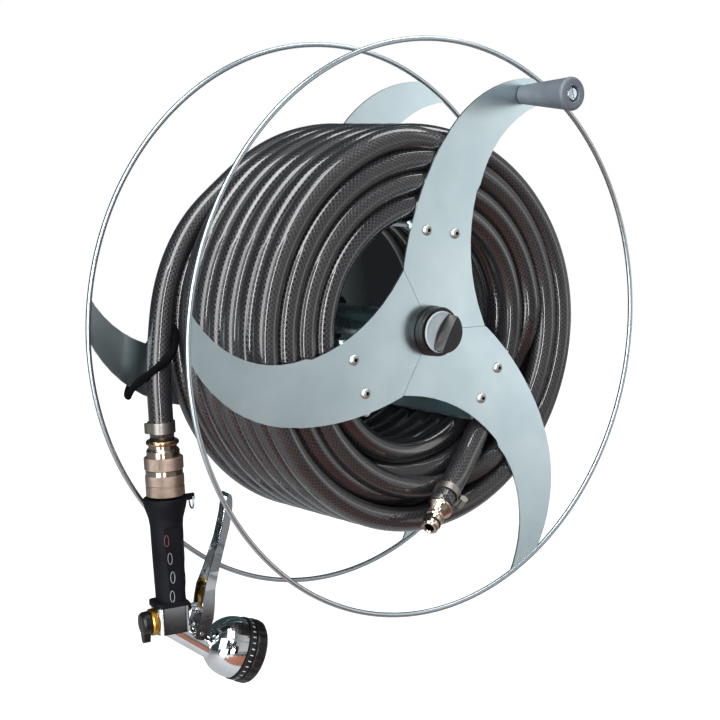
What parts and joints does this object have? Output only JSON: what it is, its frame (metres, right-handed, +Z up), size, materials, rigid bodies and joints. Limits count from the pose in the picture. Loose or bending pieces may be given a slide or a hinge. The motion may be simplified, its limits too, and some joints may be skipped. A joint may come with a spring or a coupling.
{
  "type": "wall hose reel",
  "caption": "Wall-mounted sheet-steel hose reel with wire hoops, crank grip, wound garden hose and hanging spray gun.",
  "frame": {"origin": "on the wall face at the reel's axis, the centre of the wall plate's four holes", "axes": "+Y points into the wall, so the front faces -Y; +Z is up and +X is to the right when seen from the front"},
  "size_m": [0.5649, 0.3093, 0.6403],
  "materials": {
    "galvanised_sheet": "galvanised sheet, smooth and softly glossy",
    "zinc_wire": "bright zinc-plated wire and fasteners",
    "black_plastic": "moulded black plastic, satin",
    "grey_plastic": "moulded grey plastic, satin",
    "hose": "dark grey flexible PVC over a knitted inlay, glossy",
    "nickel": "nickel-plated brass, semi-bright",
    "brass": "plain brass, semi-bright",
    "chrome": "polished chrome plate",
    "black_rubber": "soft black rubber, matte"
  },
  "bodies": {
    "bracket": {"wall_plate": "galvanised_sheet", "axle": "galvanised_sheet", "retaining_ring": "zinc_wire"},
    "reel": {"rear_arm_1": "galvanised_sheet", "rear_arm_2": "galvanised_sheet", "rear_arm_3": "galvanised_sheet", "front_arm_1": "galvanised_sheet", "front_arm_2": "galvanised_sheet", "front_arm_3": "galvanised_sheet", "rear_hoop": "zinc_wire", "front_hoop": "zinc_wire", "drum_plate_1": "galvanised_sheet", "drum_plate_2": "galvanised_sheet", "drum_plate_3": "galvanised_sheet", "rear_hub": "black_plastic", "rear_hub_nut": "black_plastic", "front_hub": "black_plastic", "front_hub_nut": "black_plastic", "rear_screws": "zinc_wire", "rear_nuts": "zinc_wire", "front_screws": "zinc_wire", "front_nuts": "zinc_wire", "crank_bush": "zinc_wire", "crank_bolt": "zinc_wire", "crank_nut": "zinc_wire", "hose_core": "hose", "hose_winding": "hose", "hose_hanging": "hose", "hose_inlet": "hose", "tie_strap": "black_rubber", "screw_clamp": "zinc_wire", "inlet_plug": "nickel", "plug_seal": "black_rubber", "ear_clamp": "zinc_wire", "coupling_body": "nickel", "gun_inlet": "nickel", "gun_grip": "black_rubber", "gun_body": "chrome", "lever_pin": "zinc_wire", "stem_boot": "black_rubber", "flow_nut": "brass"},
    "knob": {"lock_knob": "black_plastic", "knob_face": "chrome", "knob_grip": "black_plastic"},
    "crank": {"crank_grip": "grey_plastic"},
    "collar": {"coupling_collar": "nickel"},
    "ring": {"hang_ring": "zinc_wire"},
    "lever": {"lever": "chrome", "lever_catch": "brass"},
    "stem": {"valve_stem": "brass"},
    "flow": {"flow_knob": "black_plastic"},
    "nozzle": {"nozzle_ring": "black_plastic", "nozzle_face": "grey_plastic"}
  },
  "joints": [
    {"name": "reel_spin", "type": "hinge", "parent": "bracket", "child": "reel", "pos_m": [0, -0.15, 0], "axis": [0, -1, 0], "continuous": true},
    {"name": "knob_turn", "type": "hinge", "parent": "bracket", "child": "knob", "pos_m": [0, -0.25, 0], "axis": [0, -1, 0], "range_deg": [0, 90]},
    {"name": "crank_spin", "type": "hinge", "parent": "reel", "child": "crank", "pos_m": [0.11827, -0.274, 0.22817], "axis": [0, -1, 0], "continuous": true},
    {"name": "collar_slide", "type": "slide", "parent": "reel", "child": "collar", "axis": [-0.0495, 0.0105, 0.9987], "range_m": [0, 0.0045], "stiffness_N_per_m": 1500, "springref_m": -0.001},
    {"name": "ring_swing", "type": "hinge", "parent": "reel", "child": "ring", "pos_m": [-0.18745, -0.09593, -0.16268], "axis": [0.2079, 0.9781, 0], "range_deg": [-20, 25]},
    {"name": "lever_press", "type": "hinge", "parent": "reel", "child": "lever", "pos_m": [-0.18265, -0.09695, -0.29911], "axis": [-0.2079, -0.9781, 0], "range_deg": [0, 11], "stiffness_Nm_per_rad": 1.2, "springref_deg": -5.73},
    {"name": "stem_slide", "type": "slide", "parent": "reel", "child": "stem", "axis": [-0.9769, 0.2076, -0.0506], "range_m": [0, 0.005]},
    {"name": "flow_turn", "type": "hinge", "parent": "reel", "child": "flow", "pos_m": [-0.22599, -0.08774, -0.28433], "axis": [-0.9769, 0.2076, -0.0506], "range_deg": [0, 90]},
    {"name": "nozzle_turn", "type": "hinge", "parent": "reel", "child": "nozzle", "pos_m": [-0.14325, -0.10533, -0.3215], "axis": [0.9138, -0.1942, -0.3567], "continuous": true}
  ],
  "couplings": [
    {"joint": "stem_slide", "follows": "lever_press", "m_per_rad": 0.026}
  ]
}
